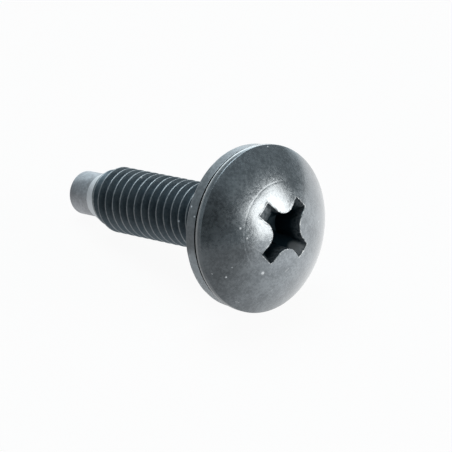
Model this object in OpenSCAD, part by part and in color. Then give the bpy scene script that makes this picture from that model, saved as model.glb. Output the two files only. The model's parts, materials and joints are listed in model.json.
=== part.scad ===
// Rack screw with a cross recess, a pilot point and a captive flat washer.
// It lies on a surface, resting on the washer's rim and on the end of the pilot point.

/* [Head] */
// Diameter of the head
head_d = 11.9; // [9:0.1:14]
// Height of the head, from its underside to the top of the dome
head_h = 3.1; // [2.6:0.1:4]
// Height of the straight band round the rim
rim_h = 0.65; // [0.5:0.05:1.2]
// Radius of the rolled lower edge of the rim
rim_edge_r = 0.15; // [0.1:0.05:0.4]

/* [Cross recess] */
// Reach of the recess at the dome, from wing tip to wing tip
recess_span = 4.95; // [4:0.05:6]
// Width of a wing
wing_w = 1.12; // [0.8:0.02:1.4]
// Radius of the rounded lands between the wings
land_r = 1.1; // [0.5:0.05:1.3]
// Depth of the wings below the top of the dome
recess_depth = 2.5; // [1.8:0.1:2.8]
// Reach of the wings at their lower end
recess_floor_span = 2.3; // [1.6:0.05:3]
// Depth of the cone at the bottom of the recess
recess_cone_h = 0.4; // [0.2:0.05:0.8]
// Angle of the first wing round the axis, from the side that faces down
recess_turn = 35; // [0:0.5:90]
// Distance of the recess from the axis, towards the side that faces up, as the punch left it
recess_off = 0.2; // [0:0.05:0.4]

/* [Shank] */
// Length of the shank, from the underside of the head to the end of the pilot point
shank_l = 18.7; // [14:0.1:30]
// Diameter of the plain neck under the head
neck_d = 4.24; // [4.0:0.02:4.5]
// Length of the plain neck
neck_l = 1.5; // [1.3:0.05:2.5]

/* [Thread] */
// Outer diameter of the thread
thread_d = 4.8; // [4.7:0.01:5.2]
// Distance from one crest to the next
thread_pitch = 0.79375; // [0.6:0.00625:1]
// Length of the plain run between the lead-in cone and the first groove
run_in_l = 0.55; // [0.2:0.05:1]

/* [Pilot point] */
// Diameter of the pilot point
pilot_d = 3.2; // [2.6:0.05:3.6]
// Length of the pilot point
pilot_l = 2; // [1.2:0.05:4]
// Length of the lead-in cone between the pilot point and the thread
lead_l = 1.2; // [0.8:0.05:2]
// Diameter of the lead-in cone at the thread
lead_d = 4.1; // [3.8:0.05:4.4]
// Radius of the rounded end of the pilot point
pilot_edge_r = 0.2; // [0.1:0.05:0.6]

/* [Washer] */
// Outer diameter of the washer
washer_d = 11.6; // [9:0.1:14]
// Thickness of the washer
washer_t = 0.95; // [0.7:0.05:1.1]
// Clearance between the washer's bore and the neck
washer_fit = 0.15; // [0.1:0.01:0.2]
// Clearance between the washer and the underside of the head
washer_gap = 0.15; // [0.05:0.01:0.2]
// Radius of the washer's outer edge on the thread side
washer_edge_r = 0.15; // [0.1:0.05:0.3]
// Radius of the bore's edge on the thread side
bore_edge_r = 0.25; // [0.2:0.05:0.3]
// Radius of the washer's outer edge on the head side
washer_lip_r = 0.08; // [0.05:0.01:0.2]

/* [Hidden] */
$fn = 96;

head_r = head_d / 2;
dome_h = head_h - rim_h;
dome_r = (head_r * head_r + dome_h * dome_h) / (2 * dome_h);
dome_z = head_h - dome_r;

// Flats and depth of the sixty-degree thread, as shares of its pitch
crest_share = 1 / 8;
root_share = 1 / 4;
flank_angle = 30;
thread_r = thread_d / 2;
crest_w = crest_share * thread_pitch;
root_w = root_share * thread_pitch;
flank_w = (thread_pitch - crest_w - root_w) / 2;
root_r = thread_r - flank_w / tan(flank_angle);
neck_r = neck_d / 2;
lead_r = lead_d / 2;
pilot_r = pilot_d / 2;

tip_z = -shank_l;
lead_z = tip_z + pilot_l;
run_in_z = lead_z + lead_l;
thread_start = run_in_z + run_in_l;
// Play between the last crest's flank and the neck's end
runout_w = (thread_r - neck_r) * tan(flank_angle);
crest_0 = thread_start + root_w + flank_w + crest_w / 2;
crest_last = -neck_l - runout_w - crest_w / 2;
crests = floor((crest_last - crest_0) / thread_pitch) + 1;

washer_r = washer_d / 2;
bore_r = neck_r + washer_fit;
washer_z = -washer_gap - washer_t;

// Lying pose: the surface touches the washer's edge and the pilot point's edge
rest_run = washer_z + washer_edge_r - tip_z - pilot_edge_r;
rest_rise = washer_r - washer_edge_r - pilot_r + pilot_edge_r;
tilt = atan2(rest_rise, rest_run) + asin((washer_edge_r - pilot_edge_r) / norm([rest_run, rest_rise]));
lift = washer_edge_r - (washer_z + washer_edge_r) * sin(tilt) + (washer_r - washer_edge_r) * cos(tilt);
front_x = dome_z * cos(tilt) + dome_r;
back_x = (tip_z + pilot_edge_r) * cos(tilt) - (pilot_r - pilot_edge_r) * sin(tilt) - pilot_edge_r;
middle_x = (front_x + back_x) / 2;

// Room that a cutter needs past the faces it opens
cut = 1;

oxide = [0.21, 0.24, 0.26];
washer_grey = [0.30, 0.33, 0.36];

// Places a piece, drawn along the vertical axis with the head up, in its lying pose
module lying() {
    translate([-middle_x, 0, lift]) rotate([0, 90 - tilt, 0]) children();
}

// What rounding takes off a corner. The signs of inward point from the corner into the section.
module corner_cut(corner, r, inward) {
    translate(corner) difference() {
        square(2 * r, center = true);
        translate(r * inward) circle(r = r);
    }
}

// Half section of the washer: a flat strip with rolled edges, as the punch leaves it
module washer_half() {
    difference() {
        translate([bore_r, washer_z]) square([washer_r - bore_r, washer_t]);
        corner_cut([washer_r, washer_z], washer_edge_r, [-1, 1]);
        corner_cut([bore_r, washer_z], bore_edge_r, [1, 1]);
        corner_cut([washer_r, -washer_gap], washer_lip_r, [-1, -1]);
    }
}

// Half section of the head: a straight rim under a spherical dome
module head_half() {
    intersection() {
        translate([0, dome_z]) circle(r = dome_r);
        union() {
            translate([0, rim_edge_r]) square([head_r, head_h]);
            square([head_r - rim_edge_r, head_h]);
            translate([head_r - rim_edge_r, rim_edge_r]) circle(r = rim_edge_r);
        }
    }
}

// Outer line of one thread ridge, from the groove below it to the groove above it
function ridge(z) = [
    [root_r, z - crest_w / 2 - flank_w],
    [thread_r, z - crest_w / 2],
    [thread_r, z + crest_w / 2],
    [root_r, z + crest_w / 2 + flank_w]
];

// Half section of the lead-in cone, the thread and the neck. Level ridges stand for the helix.
module shank_half() {
    ridges = [for (i = [0 : crests - 1]) each ridge(crest_0 + i * thread_pitch)];
    polygon(concat(
        [[0, lead_z], [pilot_r, lead_z], [lead_r, run_in_z], [lead_r, thread_start]],
        ridges,
        [[neck_r, -neck_l], [neck_r, rim_edge_r], [0, rim_edge_r]]
    ));
}

// Half section of the pilot point, rounded at its end and joined to the lead-in cone
module pilot_half() {
    translate([0, tip_z + pilot_edge_r]) square([pilot_r, pilot_l - pilot_edge_r]);
    translate([0, tip_z]) square([pilot_r - pilot_edge_r, pilot_l]);
    translate([pilot_r - pilot_edge_r, tip_z + pilot_edge_r]) circle(r = pilot_edge_r);
}

// Outline of the cross, with rounded lands between its wings
module cross_outline() {
    land_at = wing_w / 2 + land_r;
    square([recess_span + cut * 2, wing_w], center = true);
    square([wing_w, recess_span + cut * 2], center = true);
    difference() {
        square(land_at * 2, center = true);
        for (x = [-1, 1], y = [-1, 1]) translate([x * land_at, y * land_at]) circle(r = land_r);
    }
}

// Space that the punch leaves: a cross whose wing ends lean in, over a shallow cone
module cross_recess() {
    wing_end = recess_span / 2;
    floor_end = recess_floor_span / 2;
    floor_z = head_h - recess_depth;
    wing_z = dome_z + sqrt(dome_r * dome_r - wing_end * wing_end);
    lean = (wing_end - floor_end) / (wing_z - floor_z);
    top_z = head_h + cut;
    bottom_z = floor_z - recess_cone_h;
    translate([-recess_off, 0, 0]) rotate(recess_turn) intersection() {
        translate([0, 0, bottom_z - cut]) linear_extrude(top_z - bottom_z + cut) cross_outline();
        rotate_extrude() polygon([
            [0, bottom_z],
            [floor_end, floor_z],
            [floor_end + lean * (top_z - floor_z), top_z],
            [0, top_z]
        ]);
    }
}

module screw() {
    color(oxide) lying() difference() {
        union() {
            rotate_extrude() head_half();
            rotate_extrude() shank_half();
            rotate_extrude() pilot_half();
        }
        cross_recess();
    }
}

module washer() {
    color(washer_grey) lying() rotate_extrude() washer_half();
}

screw();
washer();
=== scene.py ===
# %% [markdown]
# # A black rack screw with a captive washer
# The screw was headed and rolled from one piece of wire, then blackened in a hot salt bath.
# A flat washer was slipped on before the thread was rolled, so it turns but can't fall off.
# This lesson dresses the measured model: a real helix, a punched recess and a worn oxide skin.

# %% Load the measured model
import json
import math

import bmesh
import bpy
import numpy as np
from mathutils import Matrix, Vector


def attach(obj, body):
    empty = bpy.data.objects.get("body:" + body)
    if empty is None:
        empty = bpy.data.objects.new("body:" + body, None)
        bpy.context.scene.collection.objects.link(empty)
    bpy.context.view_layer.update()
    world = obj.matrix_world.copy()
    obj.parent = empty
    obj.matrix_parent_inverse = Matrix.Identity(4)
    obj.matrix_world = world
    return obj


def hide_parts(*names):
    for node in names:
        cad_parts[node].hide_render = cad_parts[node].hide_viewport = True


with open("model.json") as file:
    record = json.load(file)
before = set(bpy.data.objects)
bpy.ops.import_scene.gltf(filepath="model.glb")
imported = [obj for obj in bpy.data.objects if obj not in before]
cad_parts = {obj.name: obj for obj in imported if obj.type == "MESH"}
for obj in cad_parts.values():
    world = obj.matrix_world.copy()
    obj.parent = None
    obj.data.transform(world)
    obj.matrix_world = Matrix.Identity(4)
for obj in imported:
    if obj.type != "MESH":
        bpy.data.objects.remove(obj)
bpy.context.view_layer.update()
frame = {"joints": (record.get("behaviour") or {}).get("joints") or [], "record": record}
MM = 0.001

# %% [markdown]
# ## The screw's own axis
# The screw lies tilted, on the washer's rim and the end of the pilot point. Every round form is
# easiest to write along the axis, with the head up and zero at the head's underside. The washer's
# hinge gives the direction. The mouth of the recess gives the top of the dome: the punch struck a
# little above the axis, so the mouth lies off it by a fifth of a millimetre.

# %% Axis and lying pose
HEAD_HEIGHT = 3.1
RECESS_OFF = 0.2
axis = Vector(frame["joints"][0]["axis"]).normalized()
down_side = Vector((axis.z, 0, -axis.x))
across = axis.cross(down_side)
LYING = Matrix((down_side, across, axis)).transposed()
mouth = next(m for m in frame["record"]["mounts"] if m["name"] == "cross_recess")
underside = Vector(mouth["pos_m"]) + LYING @ Vector((RECESS_OFF, 0, -HEAD_HEIGHT)) * MM


def lying(x, y, z):
    return underside + LYING @ Vector((x, y, z)) * MM


print("tilt in degrees:", round(math.degrees(math.asin(axis.z)), 2))

# %% [markdown]
# ## Camera
# The picture was taken with a long lens, close to the screw, looking down a little. The camera is
# placed by the point it aims at, its distance and two angles, so that each has a plain meaning.

# %% Camera
PICTURE_PX = 452
FOCAL_PX = 3400
SENSOR_MM = 36
AIM_MM = Vector((5.864, -1.348, 5.801))
DISTANCE_MM = 238
VIEW_TURN = math.radians(-43.85)
VIEW_RISE = math.radians(29.27)


def direction(turn, rise):
    return Vector((math.cos(turn) * math.cos(rise), math.sin(turn) * math.cos(rise), math.sin(rise)))


to_camera = direction(VIEW_TURN, VIEW_RISE)
camera_data = bpy.data.cameras.new("camera")
camera_data.sensor_width = SENSOR_MM
camera_data.lens = FOCAL_PX / PICTURE_PX * SENSOR_MM
camera_data.clip_start = 0.01
camera = bpy.data.objects.new("camera", camera_data)
camera.location = (AIM_MM + to_camera * DISTANCE_MM) * MM
camera.rotation_euler = (-to_camera).to_track_quat("-Z", "Y").to_euler()
bpy.context.scene.collection.objects.link(camera)
bpy.context.scene.camera = camera
bpy.context.scene.view_settings.view_transform = "Standard"
print("lens in mm:", round(camera_data.lens, 1))

# %% [markdown]
# ## Small helpers for shader nodes
# A node tree reads best as a list of nodes, each with its settings and what feeds it. These helpers
# keep that list short. A socket is named by its label, or by i and its number where labels repeat.

# %% Node helpers
def feed(tree, socket, value):
    if isinstance(value, bpy.types.NodeSocket):
        tree.links.new(value, socket)
    else:
        socket.default_value = value


def add_node(tree, kind, settings=None, **sockets):
    made = tree.nodes.new("ShaderNode" + kind)
    for name, value in (settings or {}).items():
        setattr(made, name, value)
    for name, value in sockets.items():
        label = int(name[1:]) if name[1:].isdigit() else name.replace("_", " ")
        feed(tree, made.inputs[label], value)
    return made


def math_node(tree, operation, first, second=0.0, clamp=False):
    settings = {"operation": operation, "use_clamp": clamp}
    return add_node(tree, "Math", settings, i0=first, i1=second).outputs[0]


def vector_node(tree, operation, first, second):
    return add_node(tree, "VectorMath", {"operation": operation}, i0=first, i1=second)


def span_node(tree, value, low, high):
    smooth_step = {"interpolation_type": "SMOOTHSTEP"}
    return add_node(tree, "MapRange", smooth_step, Value=value, From_Min=low, From_Max=high).outputs[0]


def mix_colour(tree, amount, first, second):
    return add_node(tree, "Mix", {"data_type": "RGBA"}, i0=amount, i6=first, i7=second).outputs[2]


# %% [markdown]
# ## Floor
# The screw lies on a plain white sheet. To the camera the sheet is mostly white light with a share of
# its lit, shaded surface, so a soft shadow stays under the screw. In the metal's reflections its glow
# is white on the right, beside the soft box, and is painted darker towards the left as shade.

# %% Floor
FLOOR_SIDE = 3.0
FLOOR_WHITE = (0.93, 0.93, 0.93, 1)
SHEET_GLOW = 0.94
SHADED_SHEET = 0.235
SHADE_SPAN = (-0.0098, 0.0065)
WHITE = (1, 1, 1, 1)


# Painted shade: in reflections the sheet's glow is dimmed towards the left.
def sheet_level(tree, path):
    place = add_node(tree, "TexCoord").outputs["Object"]
    side = add_node(tree, "SeparateXYZ", Vector=place).outputs["Y"]
    nearness = span_node(tree, side, *SHADE_SPAN)
    level = add_node(tree, "MapRange", Value=nearness, To_Min=SHADED_SHEET).outputs[0]
    return add_node(tree, "Mix", i0=path.outputs["Is Glossy Ray"], i2=1.0, i3=level).outputs[0]


def floor_finish():
    material = bpy.data.materials.new("white_sheet")
    material.use_nodes = True
    tree = material.node_tree
    tree.nodes.clear()
    path = add_node(tree, "LightPath")
    seen = math_node(tree, "MAXIMUM", path.outputs["Is Camera Ray"], path.outputs["Is Glossy Ray"])
    seen = math_node(tree, "MAXIMUM", seen, path.outputs["Is Transmission Ray"])
    lit = add_node(tree, "BsdfDiffuse", Color=FLOOR_WHITE)
    glow = add_node(tree, "Emission", Color=WHITE, Strength=sheet_level(tree, path))
    share = math_node(tree, "MULTIPLY", seen, SHEET_GLOW)
    mixed = add_node(tree, "MixShader", i0=share, i1=lit.outputs[0], i2=glow.outputs[0])
    add_node(tree, "OutputMaterial", Surface=mixed.outputs[0])
    return material


half = FLOOR_SIDE / 2
floor_mesh = bpy.data.meshes.new("floor")
corners = [(-half, -half, 0), (half, -half, 0), (half, half, 0), (-half, half, 0)]
floor_mesh.from_pydata(corners, [], [(0, 1, 2, 3)])
floor_mesh.materials.append(floor_finish())
floor = bpy.data.objects.new("floor", floor_mesh)
bpy.context.scene.collection.objects.link(floor)
print("floor side in m:", FLOOR_SIDE)

# %% [markdown]
# ## Studio light
# The studio is dim, dimmest behind the camera, and paler overhead and where the sheet curves up at
# the back. Black metal shows its surroundings, so that dim side is what makes the dome look dark.
# One large soft box on the right gives the bright patch beside the recess.

# %% World
STUDIO_TINT = (0.84, 0.95, 1, 1)
STUDIO_LIGHT = 0.265
OVERHEAD_LIGHT = 3.2
OVERHEAD_TURN = math.radians(155)
OVERHEAD_RISE = math.radians(66)
OVERHEAD_SPAN = (0.88, 0.98)
BACK_LIGHT = 2.6
BACK_SPAN = (-0.55, -0.92)
CAMERA_SIDE_LIGHT = 0.073
CAMERA_SIDE_SPAN = (0.80, 0.98)


def studio_world():
    world = bpy.data.worlds.new("studio")
    bpy.context.scene.world = world
    world.use_nodes = True
    tree = world.node_tree
    tree.nodes.clear()
    place = add_node(tree, "TexCoord").outputs["Generated"]
    to_overhead = direction(OVERHEAD_TURN, OVERHEAD_RISE)
    overhead = vector_node(tree, "DOT_PRODUCT", place, to_overhead).outputs["Value"]
    facing = vector_node(tree, "DOT_PRODUCT", place, to_camera).outputs["Value"]
    sides = [(overhead, OVERHEAD_SPAN, OVERHEAD_LIGHT), (facing, BACK_SPAN, BACK_LIGHT),
             (facing, CAMERA_SIDE_SPAN, CAMERA_SIDE_LIGHT)]
    level = STUDIO_LIGHT
    for value, span, light in sides:
        change = math_node(tree, "MULTIPLY", span_node(tree, value, *span), light - STUDIO_LIGHT)
        level = math_node(tree, "ADD", level, change)
    sky = add_node(tree, "Background", Color=STUDIO_TINT, Strength=level)
    add_node(tree, "OutputWorld", Surface=sky.outputs[0])


studio_world()
print("studio light:", STUDIO_LIGHT)

# %% Soft box
KEY_TURN = math.radians(26.4)
KEY_RISE = math.radians(16)
KEY_DISTANCE = 0.30
KEY_WIDTH = 0.24
KEY_HEIGHT = 0.17
KEY_GLOW = 3.65
KEY_COLOUR = (1, 0.95, 0.90)


def soft_box(name, away, distance, width, height, glow, colour):
    lamp_data = bpy.data.lights.new(name, "AREA")
    lamp_data.shape = "RECTANGLE"
    lamp_data.size = width
    lamp_data.size_y = height
    lamp_data.energy = glow * math.pi * width * height
    lamp_data.color = colour
    lamp = bpy.data.objects.new(name, lamp_data)
    lamp.location = underside + away * distance
    lamp.rotation_euler = (-away).to_track_quat("-Z", "Y").to_euler()
    bpy.context.scene.collection.objects.link(lamp)
    print(name, "power in W:", round(lamp_data.energy, 3))


to_key = direction(KEY_TURN, KEY_RISE)
soft_box("key_soft_box", to_key, KEY_DISTANCE, KEY_WIDTH, KEY_HEIGHT, KEY_GLOW, KEY_COLOUR)

# %% [markdown]
# ## Columns round the axis
# The whole screw is one grid of points: columns run round the axis, rows run along the skin from
# the bottom of the recess, over the head and down to the end of the pilot point. Even columns would
# miss the sharp corners of the recess, so the nearest column is moved on to each corner. A sum of
# waves round the axis serves wherever a tool left a ragged edge.

# %% Recess sizes and columns
COLUMNS = 240
WING_REACH = 2.46
WING_HALF = 0.56
LAND_R = 1.1
RECESS_TURN = math.radians(35)
QUARTER = math.pi / 2
WAVES = 24


def corner_angles():
    corner = math.atan2(WING_HALF, WING_REACH)
    wings = [RECESS_TURN + QUARTER * wing for wing in range(4)]
    return [(wing + side * corner) % (2 * math.pi) for wing in wings for side in (-1, 1)]


turns = np.arange(COLUMNS) * 2 * math.pi / COLUMNS
for corner in corner_angles():
    turns[np.argmin(np.abs(turns - corner))] = corner


def ring_row(radius, level, off=0.0, around=turns):
    spots = np.zeros((len(around), 3))
    spots[:, 0] = radius * np.cos(around) - off
    spots[:, 1] = radius * np.sin(around)
    spots[:, 2] = level
    return spots


def arc_rows(centre_r, centre_z, radius, start, stop, steps):
    bends = np.radians(np.linspace(start, stop, steps))
    return [ring_row(centre_r + radius * math.cos(b), centre_z + radius * math.sin(b)) for b in bends]


def ragged(seed, finest):
    chance = np.random.default_rng(seed)
    waves = []
    for _ in range(WAVES):
        waves.append((chance.integers(3, finest), chance.uniform(0, 6.3), chance.uniform(0.2, 1)))
    rough = sum(size * np.sin(count * turns + start) for count, start, size in waves)
    return (rough - rough.min()) / (rough.max() - rough.min())


print("columns:", COLUMNS)

# %% [markdown]
# ## Outline of the cross
# Seen from its middle, the cross has one edge point in every direction, so its outline is a radius
# for each column: a flat wing end, a straight wing side, then the round nose of the land. The same
# formula with wider wings and smaller lands gives the outline moved outwards.

# %% Cross outline
def cross_outline(reach, half_width, land):
    folded = np.abs((turns - RECESS_TURN + QUARTER / 2) % QUARTER - QUARTER / 2)
    middle = (half_width + land) * math.sqrt(2)
    off_nose = folded - QUARTER / 2
    nose_dip = np.maximum(land ** 2 - (middle * np.sin(off_nose)) ** 2, 0)
    nose = middle * np.cos(off_nose) - np.sqrt(nose_dip)
    side = half_width / np.maximum(np.sin(folded), 1e-6)
    straight = np.minimum(reach / np.cos(folded), side)
    return np.where(folded > np.arctan2(half_width, half_width + land), nose, straight)


def moved_out(out):
    return cross_outline(WING_REACH + out, WING_HALF + out, LAND_R - out)


print("nose of the lands, mm from the middle:", round(moved_out(0).min(), 2))

# %% [markdown]
# ## Dome
# The dome is part of a sphere. The punch pushed up a little burr round the mouth of the recess, and
# its shoulder left a faint ring. Rows near the mouth follow the cross, moved out step by step, and
# keep its edge crisp and evenly rounded. Further out they become circles round the axis. The measured
# model has flat facets, which fall a few thousandths short of a true round, so the dome does too.

# %% Dome rows
HEAD_R = 5.948
RIM_HEIGHT = 0.65
FACET = 0.003
MOUTH_EDGE = 0.06
BURR = 0.03
BURR_WIDTH = 0.06
BURR_JAG = 0.05
BURR_SEED = 11
BURR_FINEST = 90
BURR_ROWS = 7
MOUTH_STEPS = (0.09, 0.12, 0.16, 0.22)
RING_R = 3.38
RING_DEPTH = 0.004
RING_WIDTH = 0.05
RING_STEPS = (-0.10, -0.06, -0.03, 0, 0.03, 0.06, 0.10)
ROW_GAP = 0.2
CENTRED_R = 5.2
dome_rise = HEAD_HEIGHT - RIM_HEIGHT
DOME_R = (HEAD_R ** 2 + dome_rise ** 2) / (2 * dome_rise)
DOME_Z = HEAD_HEIGHT - DOME_R - FACET


def smooth(value, low, high):
    share = np.clip((value - low) / (high - low), 0, 1)
    return share * share * (3 - 2 * share)


def dome_row(radius, off=RECESS_OFF, rise=0.0):
    spots = ring_row(radius, 0.0, off)
    from_axis = np.hypot(spots[:, 0], spots[:, 1])
    spots[:, 2] = DOME_Z + np.sqrt(DOME_R ** 2 - from_axis ** 2) + rise
    return spots


jag = ragged(BURR_SEED, BURR_FINEST)


def mouth_row(out, drop=0.0):
    fade = math.exp(-max(out - MOUTH_EDGE, 0) / BURR_WIDTH)
    return dome_row(moved_out(out) + BURR_JAG * (jag - 0.5) * fade, rise=BURR * jag * fade - drop)


def mouth_rows():
    rows = []
    for bend in np.linspace(0, QUARTER, BURR_ROWS):
        rows.append(mouth_row(MOUTH_EDGE * (1 - math.cos(bend)), MOUTH_EDGE * (1 - math.sin(bend))))
    return rows + [mouth_row(out) for out in MOUTH_STEPS]


def dome_rows():
    last = moved_out(MOUTH_STEPS[-1])
    rows = [dome_row(last + (RING_R - ROW_GAP - last) * share) for share in np.linspace(0, 1, 9)[1:]]
    for step in RING_STEPS:
        rows.append(dome_row(RING_R + step, rise=-RING_DEPTH * math.exp(-(step / RING_WIDTH) ** 2)))
    for radius in np.linspace(RING_R + ROW_GAP, HEAD_R - ROW_GAP, 24):
        rows.append(dome_row(radius, RECESS_OFF * (1 - smooth(radius, RING_R, CENTRED_R))))
    return rows


print("radius of the dome in mm:", round(DOME_R, 2))

# %% [markdown]
# ## Recess
# The walls lean in with depth and end in a shallow cone. Each row keeps the cross at its own depth,
# so the wing ends slope as the punch left them. It struck a little askew, so one wing ends in a ramp.

# %% Recess rows
RECESS_FLOOR = 0.6
RECESS_CONE = 0.4
FLOOR_REACH = 1.15
WALL_DRAFT = 0.035
WALL_ROWS = 16
RAMP_TURN = RECESS_TURN + 2 * QUARTER
RAMP_LENGTH = 0.8
RAMP_DEPTH = 0.5
RAMP_FADE = (0.85, 0.92)
wing_level = DOME_Z + math.sqrt(DOME_R ** 2 - WING_REACH ** 2)
wing_lean = (WING_REACH - FLOOR_REACH) / (wing_level - RECESS_FLOOR)


def recess_wall(level):
    below = wing_level - level
    askew = smooth(np.cos(turns - RAMP_TURN), *RAMP_FADE)
    ramp = RAMP_LENGTH * askew * np.clip(below / RAMP_DEPTH, 0, 1)
    reach = np.maximum(WING_REACH - wing_lean * below - ramp, FLOOR_REACH)
    return np.minimum(cross_outline(reach, WING_HALF - WALL_DRAFT * below, LAND_R), moved_out(0))


def recess_rows():
    lip = mouth_row(0, MOUTH_EDGE)
    floor_ring = recess_wall(np.full(COLUMNS, RECESS_FLOOR))
    rows = []
    for share in (0.35, 0.7):
        rows.append(ring_row(floor_ring * share, RECESS_FLOOR - RECESS_CONE * (1 - share), RECESS_OFF))
    for share in np.linspace(0, 1, WALL_ROWS)[:-1]:
        level = RECESS_FLOOR + (lip[:, 2] - RECESS_FLOOR) * share
        rows.append(ring_row(recess_wall(level), level, RECESS_OFF))
    return rows + [lip]


print("depth of the recess in mm:", round(HEAD_HEIGHT - RECESS_FLOOR + RECESS_CONE, 2))

# %% [markdown]
# ## Rim, underside and neck
# The dome meets the straight rim in a crease that catches the light, so it gets a small round of
# its own. The lower edge is rolled over. Under the head a plain neck leaves room for the washer.

# %% Rim and neck rows
CREASE_R = 0.08
RIM_EDGE = 0.15
RIM_ROLL = 0.38
NECK_R = 2.12
NECK_END = -1.5
NECK_FILLET = 0.12


def rim_rows():
    middle_r = HEAD_R - CREASE_R
    middle_z = DOME_Z + math.sqrt((DOME_R - CREASE_R) ** 2 - middle_r ** 2)
    meets = math.degrees(math.acos(middle_r / (DOME_R - CREASE_R)))
    rows = arc_rows(middle_r, middle_z, CREASE_R, meets, 0, 6)
    for bend in np.linspace(0, QUARTER, 12):
        rows.append(ring_row(HEAD_R - RIM_EDGE * (1 - math.cos(bend)), RIM_ROLL * (1 - math.sin(bend))))
    return rows


def underside_rows():
    rows = [ring_row(radius, 0) for radius in (HEAD_R - RIM_EDGE, 5.2, 4.6, 4.0, 3.4, 2.8)]
    rows += arc_rows(NECK_R + NECK_FILLET, -NECK_FILLET, NECK_FILLET, 90, 180, 5)
    rows += [ring_row(NECK_R, level) for level in (-0.6, -1.1, NECK_END)]
    return rows


print("height of the rim in mm:", RIM_HEIGHT)

# %% [markdown]
# ## Thread
# Rows that run level would cut the crests into steps. Here each row climbs with the helix, so a
# crest is one smooth line all the way round. Rows that climb past the ends are held at the end
# level, and the points that then fall together are merged. The thread swells out of the blank within
# one turn, as a rolled thread does, and its start leans, because the dies let go on one side first.

# %% Helix rows
PITCH = 25.4 / 32
CREST_R = 2.4
THREAD_DEPTH = 0.487
THREAD_END = -15.63
START_LEAN = 0.5
BLANK_R = 2.05
CREST_LEVEL = -13.65
SWELL = 0.65
SWELL_FADE = (0.3, 0.7)
START_STEP = 0.08
RUNOUT = 0.8
# Height of the ridge at shares of the pitch, counted from its crest
HALF_RIDGE = [(0, 1), (0.045, 0.995), (0.075, 0.95), (0.11, 0.86), (0.25, 0.47), (0.385, 0.09),
              (0.43, 0.015)]
CREST_HEIGHT = 0.94
ridge = HALF_RIDGE + [(0.5, 0)] + [(1 - share, height) for share, height in HALF_RIDGE[:0:-1]]
near_turn = math.atan2(to_camera.dot(across), to_camera.dot(down_side))


def thread_end(around):
    return THREAD_END + START_LEAN * (1 - np.cos(around - near_turn + QUARTER / 2)) / 2


def helix_rows():
    around = np.append(turns, turns[0] + 2 * math.pi)
    climb = PITCH * (around - near_turn) / (2 * math.pi)
    end = thread_end(around)
    turns_up = math.ceil((NECK_END - CREST_LEVEL) / PITCH) + 2
    turns_down = math.ceil((CREST_LEVEL - THREAD_END) / PITCH) + 2
    rows, heights = [], []
    for lap in range(turns_up, -turns_down, -1):
        crest = CREST_LEVEL + lap * PITCH + climb
        swell_here = smooth(crest - end, 0, SWELL)
        swell_above = smooth(crest + PITCH - end, 0, SWELL)
        for share, height in reversed(ridge):
            level = np.clip(crest + share * PITCH, end, NECK_END)
            swell = swell_here + (swell_above - swell_here) * smooth(share, *SWELL_FADE)
            swell = swell * smooth(level - end, 0, START_STEP)
            swell = swell * smooth(-level, -NECK_END, RUNOUT - NECK_END)
            base = BLANK_R + (NECK_R - BLANK_R) * smooth(level, THREAD_END, NECK_END)
            full = CREST_R - THREAD_DEPTH * (1 - height)
            rows.append(ring_row(base + (full - base) * swell, level, around=around))
            heights.append(height)
    return rows, heights


print("pitch in mm:", round(PITCH, 4))

# %% [markdown]
# ## Pilot point
# The pilot point guides the screw into a cage nut. It is plain turned wire behind a short cone,
# with a soft round at its end.

# %% Cone and pilot rows
PILOT_R = 1.6
TIP = FACET - 18.7
PILOT_TOP = -16.67
PILOT_EDGE = 0.2
ROOT_ROUND = 0.05
ROOT_R = PILOT_R + 0.02


def cone_rows():
    end = thread_end(turns)
    rows = []
    for share in np.linspace(0, 1, 6)[:-1]:
        rows.append(ring_row(BLANK_R + (PILOT_R - BLANK_R) * share, end + (PILOT_TOP - end) * share))
    return rows + [ring_row(ROOT_R, PILOT_TOP + ROOT_ROUND)]


def pilot_rows():
    rows = [ring_row(ROOT_R, PILOT_TOP + ROOT_ROUND), ring_row(PILOT_R, PILOT_TOP - ROOT_ROUND)]
    rows += [ring_row(PILOT_R, level) for level in (-17.2, -17.7, -18.2)]
    rows += arc_rows(PILOT_R - PILOT_EDGE, TIP + PILOT_EDGE, PILOT_EDGE, 0, -90, 9)
    rows += [ring_row(radius, TIP) for radius in (0.9, 0.4)]
    return rows


print("length of the pilot point in mm:", round(PILOT_TOP - TIP, 2))

# %% [markdown]
# ## From rows to a skin
# Each row is a ring of points, and neighbouring rings are joined by four-sided faces. Each band of
# faces has a zone, which later takes its own finish. The first and the last ring close on a point
# of the axis. The points are written in the lying pose.

# %% Skin builder
MERGE = 1e-7
SHARP = math.radians(40)


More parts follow.
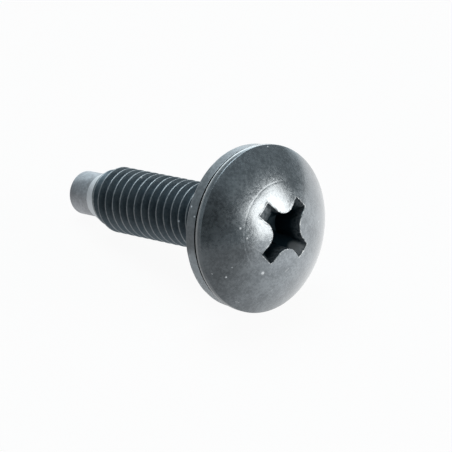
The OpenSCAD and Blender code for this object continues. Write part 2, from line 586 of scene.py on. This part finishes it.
class Skin:
    def __init__(self):
        self.points, self.faces, self.zones = [], [], []

    def rings(self, rows, zones, closed=True):
        made = []
        zones = zones if isinstance(zones, list) else [zones] * len(rows)
        for row in rows:
            made.append(range(len(self.points), len(self.points) + len(row)))
            self.points += [lying(*spot) for spot in row]
        for upper, lower, zone in zip(made, made[1:], zones):
            self.join(upper, lower, zone, closed)
        return made

    def join(self, upper, lower, zone, closed=True):
        count = len(upper)
        for i in range(count if closed else count - 1):
            j = (i + 1) % count
            self.faces.append((upper[i], lower[i], lower[j], upper[j]))
            self.zones.append(zone)

    def cap(self, ring, spot, zone):
        self.points.append(lying(*spot))
        for i, start in enumerate(ring):
            self.faces.append((start, ring[(i + 1) % len(ring)], len(self.points) - 1))
            self.zones.append(zone)

    def finish(self, name):
        mesh = bpy.data.meshes.new(name)
        mesh.from_pydata(self.points, [], self.faces)
        mesh.polygons.foreach_set("material_index", self.zones)
        work = bmesh.new()
        work.from_mesh(mesh)
        bmesh.ops.remove_doubles(work, verts=work.verts, dist=MERGE)
        bmesh.ops.dissolve_degenerate(work, edges=work.edges, dist=MERGE)
        bmesh.ops.recalc_face_normals(work, faces=work.faces)
        work.to_mesh(mesh)
        work.free()
        mesh.shade_smooth()
        mesh.set_sharp_from_angle(angle=SHARP)
        made = bpy.data.objects.new(name, mesh)
        bpy.context.scene.collection.objects.link(made)
        print(name, "faces:", len(mesh.polygons))
        return made


# %% Screw skin
HEAD, BURR_EDGE, RECESS, GAP_SHADE, THREAD, CREST, CONE, PILOT = range(8)
skin = Skin()
inside = recess_rows()
bottom = skin.rings(inside, RECESS)[0]
skin.cap(bottom, (-RECESS_OFF, 0, RECESS_FLOOR - RECESS_CONE), RECESS)
edge = mouth_rows()
skin.rings(edge[:BURR_ROWS], BURR_EDGE)
skin.rings(edge[BURR_ROWS - 1:] + dome_rows() + rim_rows(), HEAD)
# The underside of the head and the neck are painted near-black: painted shade in the gap under the head.
skin.rings(underside_rows(), GAP_SHADE)
turns_of_thread, heights = helix_rows()
# Crest bands take a pale finish: rubbed steel with a painted highlight along each crest.
bands = [CREST if min(pair) > CREST_HEIGHT else THREAD for pair in zip(heights, heights[1:])]
skin.rings(turns_of_thread, bands, closed=False)
skin.rings(cone_rows(), CONE)
point = skin.rings(pilot_rows(), PILOT)[-1]
skin.cap(point, (0, 0, TIP), PILOT)
screw = skin.finish("screw_skin")
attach(screw, "screw")
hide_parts("screw")

# %% [markdown]
# ## Washer
# The washer was punched from sheet. The punch rolls one edge over and tears the rest of the rim a
# little, so the rim is not quite round.

# %% Washer skin
WASHER_R = 5.8
WASHER_TOP = -0.15
WASHER_FACE = -1.1
BORE_R = 2.27
FACE_EDGE = 0.15
LIP_EDGE = 0.08
BORE_EDGE = 0.25
TORN = 0.018
TORN_BAND = 0.25
TORN_FINEST = 40
WASHER_SEED = 7


def washer_top_rows():
    rows = [ring_row(BORE_R, WASHER_FACE + BORE_EDGE), ring_row(BORE_R, -0.5)]
    rows += [ring_row(radius, WASHER_TOP) for radius in np.linspace(BORE_R, WASHER_R - 0.3, 9)]
    return rows + arc_rows(WASHER_R - LIP_EDGE, WASHER_TOP - LIP_EDGE, LIP_EDGE, 90, 30, 4)


def washer_rim_rows():
    rows = arc_rows(WASHER_R - LIP_EDGE, WASHER_TOP - LIP_EDGE, LIP_EDGE, 30, 0, 3)
    rows += [ring_row(WASHER_R, level) for level in (-0.35, -0.5, -0.65, -0.8)]
    rows += arc_rows(WASHER_R - FACE_EDGE, WASHER_FACE + FACE_EDGE, FACE_EDGE, 0, -90, 8)
    rows += [ring_row(radius, WASHER_FACE) for radius in np.linspace(5.2, 2.8, 8)]
    return rows + arc_rows(BORE_R + BORE_EDGE, WASHER_FACE + BORE_EDGE, BORE_EDGE, 270, 180, 6)


def torn_rim(rows):
    torn = 1 - TORN * ragged(WASHER_SEED, TORN_FINEST) / WASHER_R
    for row in rows:
        outer = np.hypot(row[:, 0], row[:, 1]) > WASHER_R - TORN_BAND
        row[:, :2] *= np.where(outer, torn, 1)[:, None]
    return rows


WASHER_RIM, WASHER_GAP_SHADE = range(2)
ring_skin = Skin()
ring_skin.rings(torn_rim(washer_rim_rows()), WASHER_RIM)
# The washer's top face and bore are painted near-black too: painted shade in the gap under the head.
ring_skin.rings(torn_rim(washer_top_rows()), WASHER_GAP_SHADE)
washer = ring_skin.finish("washer_skin")
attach(washer, "washer")
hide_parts("washer")

# %% [markdown]
# ## Oxide skin
# Black oxide is a thin, slightly uneven conversion coat. Two noises make it: slow clouds that shift
# its tone and gloss, and a fine grain from the wire and the bath. One group serves every material.

# %% Oxide group
CLOUD = {"Detail": 5, "Roughness": 0.6}
GRAIN = {"Detail": 3, "Roughness": 0.6}
TONE_SPAN = (0.36, 0.64)


def new_group(name, inputs, outputs):
    group = bpy.data.node_groups.new(name, "ShaderNodeTree")
    for socket, kind in inputs:
        group.interface.new_socket(socket, in_out="INPUT", socket_type="NodeSocket" + kind)
    for socket, kind in outputs:
        group.interface.new_socket(socket, in_out="OUTPUT", socket_type="NodeSocket" + kind)
    return group, group.nodes.new("NodeGroupInput").outputs, group.nodes.new("NodeGroupOutput").inputs


def oxide_group():
    inputs = [("Place", "Vector"), ("Cloud Scale", "Float"), ("Grain Scale", "Float")]
    group, given, result = new_group("oxide", inputs, [("Tone", "Float"), ("Grain", "Float")])
    cloud = add_node(group, "TexNoise", Vector=given["Place"], Scale=given["Cloud Scale"], **CLOUD)
    grain = add_node(group, "TexNoise", Vector=given["Place"], Scale=given["Grain Scale"], **GRAIN)
    halves = [math_node(group, "MULTIPLY", noise.outputs["Fac"], 0.5) for noise in (cloud, grain)]
    tone = math_node(group, "ADD", *halves)
    group.links.new(span_node(group, tone, *TONE_SPAN), result["Tone"])
    group.links.new(grain.outputs["Fac"], result["Grain"])
    return group


oxide = oxide_group()
print("group:", oxide.name)

# %% [markdown]
# ## Place along the axis
# Wear follows the form: crests, rims and the pilot point rub first. This group turns a point of the
# lying screw back on to its axis, and gives its distance from it and its height along it.

# %% Axis group
def axis_group():
    outputs = [("Radius", "Float"), ("Along", "Float")]
    group, given, result = new_group("axis_place", [("Place", "Vector")], outputs)
    upright = add_node(group, "Mapping", {"vector_type": "TEXTURE"}, Vector=given["Place"])
    upright.inputs["Location"].default_value = underside
    upright.inputs["Rotation"].default_value = LYING.to_euler()
    parts = add_node(group, "SeparateXYZ", Vector=upright.outputs[0])
    squares = [math_node(group, "MULTIPLY", parts.outputs[i], parts.outputs[i]) for i in (0, 1)]
    radius = math_node(group, "SQRT", math_node(group, "ADD", *squares))
    group.links.new(math_node(group, "DIVIDE", radius, MM), result["Radius"])
    group.links.new(math_node(group, "DIVIDE", parts.outputs[2], MM), result["Along"])
    return group


axis_place = axis_group()
print("group:", axis_place.name)

# %% [markdown]
# ## Marks
# Grit sits on the oily skin as pale specks, knocks leave short scuffs, and a few wide, faint pale patches
# are painted light; one speck on the washer is a painted highlight. All are the places near a line from a
# start to an end, so one
# group makes them: it finds the nearest point of that line and masks what lies within a width of it.

# %% Mark group
CORE = 0.4


def mark_group():
    inputs = [("Place", "Vector"), ("Start", "Vector"), ("End", "Vector"), ("Width", "Float")]
    group, given, result = new_group("mark", inputs, [("Mask", "Float")])
    run = vector_node(group, "SUBTRACT", given["End"], given["Start"]).outputs[0]
    away = vector_node(group, "SUBTRACT", given["Place"], given["Start"]).outputs[0]
    length = vector_node(group, "DOT_PRODUCT", run, run).outputs["Value"]
    reach = vector_node(group, "DOT_PRODUCT", away, run).outputs["Value"]
    share = math_node(group, "DIVIDE", reach, length, clamp=True)
    nearest = add_node(group, "VectorMath", {"operation": "SCALE"}, i0=run, Scale=share).outputs[0]
    gap = vector_node(group, "DISTANCE", away, nearest).outputs["Value"]
    core = math_node(group, "MULTIPLY", given["Width"], CORE)
    group.links.new(span_node(group, gap, given["Width"], core), result["Mask"])
    return group


mark = mark_group()
print("group:", mark.name)

# %% [markdown]
# ## Steel recipe
# All the steel takes one recipe: a dark metal whose tone and gloss drift with the oxide, an oil film
# as a clear coat, and grain as a fine bump. Worn places are paler, and some of them carry painted
# light and painted highlights too; marks and painted light patches are paler still. Each zone has its own
# values.

# %% Steel recipe
MARK_AND_LIGHT_COLOUR = (0.80, 0.83, 0.86, 1)
COAT_ROUGH = 0.22
CLOUD_SCALE = 900
GRAIN_SCALE = 5000
GRAIN_DEPTH = 0.000014
GRAIN_STRENGTH = 0.5


def place_group(tree, group, place, **values):
    made = tree.nodes.new("ShaderNodeGroup")
    made.node_tree = group
    feed(tree, made.inputs["Place"], place)
    for name, value in values.items():
        feed(tree, made.inputs[name.replace("_", " ")], value)
    return made.outputs


def steel(name, dark, pale, gloss, coat, metal=1.0, wear_and_light=None, marks_and_light=()):
    material = bpy.data.materials.new(name)
    material.use_nodes = True
    tree = material.node_tree
    shader = tree.nodes["Principled BSDF"].inputs
    place = add_node(tree, "TexCoord").outputs["Object"]
    skin = place_group(tree, oxide, place, Cloud_Scale=CLOUD_SCALE, Grain_Scale=GRAIN_SCALE)
    colour = mix_colour(tree, skin["Tone"], (*dark, 1), (*pale, 1))
    if wear_and_light:
        mask, wear_and_light_colour = wear_and_light(tree, place_group(tree, axis_place, place), skin)
        colour = mix_colour(tree, mask, colour, (*wear_and_light_colour, 1))
    bare = metal
    for start, end, width, strength in marks_and_light:
        spot = place_group(tree, mark, place, Start=start, End=end, Width=width * MM)["Mask"]
        spot = math_node(tree, "MULTIPLY", spot, strength)
        colour = mix_colour(tree, spot, colour, MARK_AND_LIGHT_COLOUR)
        bare = math_node(tree, "SUBTRACT", bare, spot, clamp=True)
    feed(tree, shader["Base Color"], colour)
    feed(tree, shader["Metallic"], bare)
    sheen = add_node(tree, "MapRange", Value=skin["Tone"], To_Min=gloss[0], To_Max=gloss[1])
    feed(tree, shader["Roughness"], sheen.outputs[0])
    feed(tree, shader["Coat Weight"], coat)
    feed(tree, shader["Coat Roughness"], COAT_ROUGH)
    relief = add_node(tree, "Bump", Height=skin["Grain"], Strength=GRAIN_STRENGTH, Distance=GRAIN_DEPTH)
    feed(tree, shader["Normal"], relief.outputs[0])
    print("finish:", name)
    return material


# %% [markdown]
# ## Where the marks are
# A mark on the dome is placed by its distance from the axis and its turn round it. On the thread and
# the washer it is placed by its turn and its level. Turns are in degrees, from the side that faces down.

# %% Marks on the dome
SPECKS = [(3.17, -47, 0.16), (3.24, -103, 0.10), (5.06, -70, 0.10), (3.81, 175, 0.06), (4.06, -174, 0.05),
          (5.81, 165, 0.08), (3.83, 81, 0.06), (3.74, -114, 0.11), (4.51, -76, 0.05), (5.67, -77, 0.05)]
SCUFFS = [((5.57, -45), (5.51, -42), 0.05), ((3.03, -93), (2.45, -78), 0.025),
          ((2.75, -8), (2.6, -2), 0.05), ((4.24, -22), (4.10, -19), 0.04)]
SCUFF_SHARE = 0.35


def on_skin(radius, turn, level):
    turn = math.radians(turn)
    return lying(radius * math.cos(turn), radius * math.sin(turn), level)


def on_dome(radius, turn):
    return on_skin(radius, turn, DOME_Z + math.sqrt(DOME_R ** 2 - radius ** 2))


def speck(spot, width):
    return spot, spot, width, 1.0


dome_marks = [speck(on_dome(radius, turn), width) for radius, turn, width in SPECKS]
dome_marks += [(on_dome(*start), on_dome(*end), width, SCUFF_SHARE) for start, end, width in SCUFFS]
print("marks on the dome:", len(dome_marks))

# %% Marks on the thread and the washer
THREAD_SPECKS = [(-170, -11.3, 0.13), (-105, -7.8, 0.11), (-102, -5.6, 0.11)]
# The last washer speck, on its lower edge, is a painted highlight; the others are grit.
WASHER_SPECKS_AND_GLINT = [(-123.6, -0.86, 0.10), (-117.1, -0.34, 0.09), (-138.6, -1.04, 0.08)]
thread_marks = [speck(on_skin(CREST_R, turn, level), width) for turn, level, width in THREAD_SPECKS]
washer_marks_and_light = [speck(on_skin(WASHER_R, turn, level), width) for turn, level, width in WASHER_SPECKS_AND_GLINT]
print("marks on the thread and the washer:", len(thread_marks) + len(washer_marks_and_light))

# %% Painted light: the end of the lower wing and the washer's lower edge
# A wide, faint pale patch on the end wall of the lower wing: painted light.
WING_LIGHT = [(2.40, 2.6), (2.10, 2.1)]
WING_LIGHT_WIDTH = 0.55
WING_LIGHT_SHARE = 0.3
# A wide, faint pale patch on the near, lower side of the washer's rim: painted light.
EDGE_LIGHT = [(-82, -0.55), (-46, -0.55)]
EDGE_LIGHT_WIDTH = 1.6
EDGE_LIGHT_SHARE = 0.45


def on_wing(reach, level):
    return lying(reach * math.cos(RECESS_TURN) - RECESS_OFF, reach * math.sin(RECESS_TURN), level)


wing_ends = [on_wing(*spot) for spot in WING_LIGHT]
edge_ends = [on_skin(WASHER_R, *spot) for spot in EDGE_LIGHT]
recess_light = [(*wing_ends, WING_LIGHT_WIDTH, WING_LIGHT_SHARE)]
washer_marks_and_light.append((*edge_ends, EDGE_LIGHT_WIDTH, EDGE_LIGHT_SHARE))
print("widths of the painted light patches in mm:", WING_LIGHT_WIDTH, EDGE_LIGHT_WIDTH)

# %% [markdown]
# ## Finishes of the screw
# The head is satin and oily; its rolled rim edge and the torn burr at the mouth are rubbed and also
# painted pale as highlights. The recess is painted almost black over its oxide as shade, and paler near
# the mouth as painted light. On the thread the crests rubbed bare and are painted pale as a highlight.
# The cone and the pilot point were turned last and show the most steel; the cone's near-white is also a
# painted reflection of the white sheet. The head's underside is painted near-black as shade in the gap.

# %% Worn and painted-light places of the screw
RIM_BAND = 0.3
RIM_WEAR_AND_SHINE = (0.36, 0.28)
RIM_HIGHLIGHT_STEEL = (0.58, 0.61, 0.63)
MOUTH_LIGHT_SPAN = (1.9, 2.7)
MOUTH_LIGHT_GRAIN = (0.2, 0.7)
MOUTH_LIT_STEEL = (0.24, 0.265, 0.285)
BURR_GRAIN = (0.47, 0.60)
BURR_HIGHLIGHT_STEEL = (0.60, 0.63, 0.65)


# The rolled lower edge of the rim is painted pale: rubbed steel and a painted highlight along the roll.
def worn_lit_rim(tree, where, skin):
    outer = math_node(tree, "GREATER_THAN", where["Radius"], HEAD_R - RIM_BAND)
    rolled = span_node(tree, where["Along"], *RIM_WEAR_AND_SHINE)
    return math_node(tree, "MULTIPLY", outer, rolled), RIM_HIGHLIGHT_STEEL


# Painted light: the recess walls are paler near the mouth, broken by grain, and fade to painted shade
# deeper down; partly wear from the driver.
def lit_worn_mouth(tree, where, skin):
    upper = span_node(tree, where["Along"], *MOUTH_LIGHT_SPAN)
    grainy = span_node(tree, skin["Grain"], *MOUTH_LIGHT_GRAIN)
    return math_node(tree, "MULTIPLY", upper, grainy), MOUTH_LIT_STEEL


# The torn burr at the mouth's edge is painted pale in broken patches: bare steel and a painted highlight
# too fine for its geometry.
def torn_burr_highlight(tree, where, skin):
    return span_node(tree, skin["Grain"], *BURR_GRAIN), BURR_HIGHLIGHT_STEEL


print("worn band of the rim in mm:", RIM_BAND)

# %% Screw finishes
FINISHES = {
    HEAD: steel("oxide_head", (0.214, 0.241, 0.263), (0.351, 0.391, 0.421), (0.23, 0.31), 1.0,
                wear_and_light=worn_lit_rim, marks_and_light=dome_marks),
    BURR_EDGE: steel("torn_burr_highlight", (0.19, 0.215, 0.23), (0.26, 0.285, 0.30), (0.28, 0.36), 0.5,
                     wear_and_light=torn_burr_highlight),
    # The recess is painted almost black as shade, over its oxide.
    RECESS: steel("oxide_recess_painted_shade", (0.004, 0.022, 0.034), (0.010, 0.034, 0.048), (0.50, 0.60), 0.1,
                  metal=0.6, wear_and_light=lit_worn_mouth, marks_and_light=recess_light),
    # Near-black painted shade for the gap under the head and the washer's top face.
    GAP_SHADE: steel("painted_shade_under_head", (0.004, 0.005, 0.006), (0.008, 0.009, 0.010), (0.60, 0.70), 0.0),
    THREAD: steel("oxide_thread", (0.111, 0.148, 0.174), (0.18, 0.218, 0.245), (0.42, 0.55), 0.2,
                  marks_and_light=thread_marks),
    CREST: steel("rubbed_crest_highlight", (0.27, 0.30, 0.325), (0.48, 0.515, 0.54), (0.40, 0.50), 0.1,
                 marks_and_light=thread_marks),
    # The cone's near-white colour is a painted reflection of the white sheet over turned steel.
    CONE: steel("cone_painted_reflection", (0.76, 0.805, 0.84), (0.88, 0.925, 0.96), (0.42, 0.52), 0.1),
    PILOT: steel("oxide_pilot", (0.435, 0.453, 0.482), (0.657, 0.678, 0.709), (0.50, 0.62), 0.1),
}
for zone in sorted(FINISHES):
    screw.data.materials.append(FINISHES[zone])

# %% [markdown]
# ## Finish of the washer
# The washer is thinly blackened and dry, so it looks greyer and duller than the screw. Its rolled
# edge is rubbed. Its top face and bore, in the gap under the head, are painted near-black as shade.

# %% Washer finish
EDGE_BAND = 0.2
EDGE_LEVEL = WASHER_FACE + 0.08
EDGE_WEAR = (0.12, 0.048)
EDGE_STEEL = (0.42, 0.44, 0.46)


def worn_washer(tree, where, skin):
    outer = math_node(tree, "GREATER_THAN", where["Radius"], WASHER_R - EDGE_BAND)
    off = math_node(tree, "ABSOLUTE", math_node(tree, "SUBTRACT", where["Along"], EDGE_LEVEL))
    rubbed = math_node(tree, "MULTIPLY", outer, span_node(tree, off, *EDGE_WEAR))
    return math_node(tree, "MULTIPLY", rubbed, skin["Tone"]), EDGE_STEEL


oxide_washer = steel("oxide_washer", (0.30, 0.322, 0.341), (0.445, 0.472, 0.494), (0.40, 0.52), 0.3,
                     wear_and_light=worn_washer, marks_and_light=washer_marks_and_light)
washer.data.materials.append(oxide_washer)
# The washer's top face takes the painted shade of the gap under the head.
washer.data.materials.append(FINISHES[GAP_SHADE])
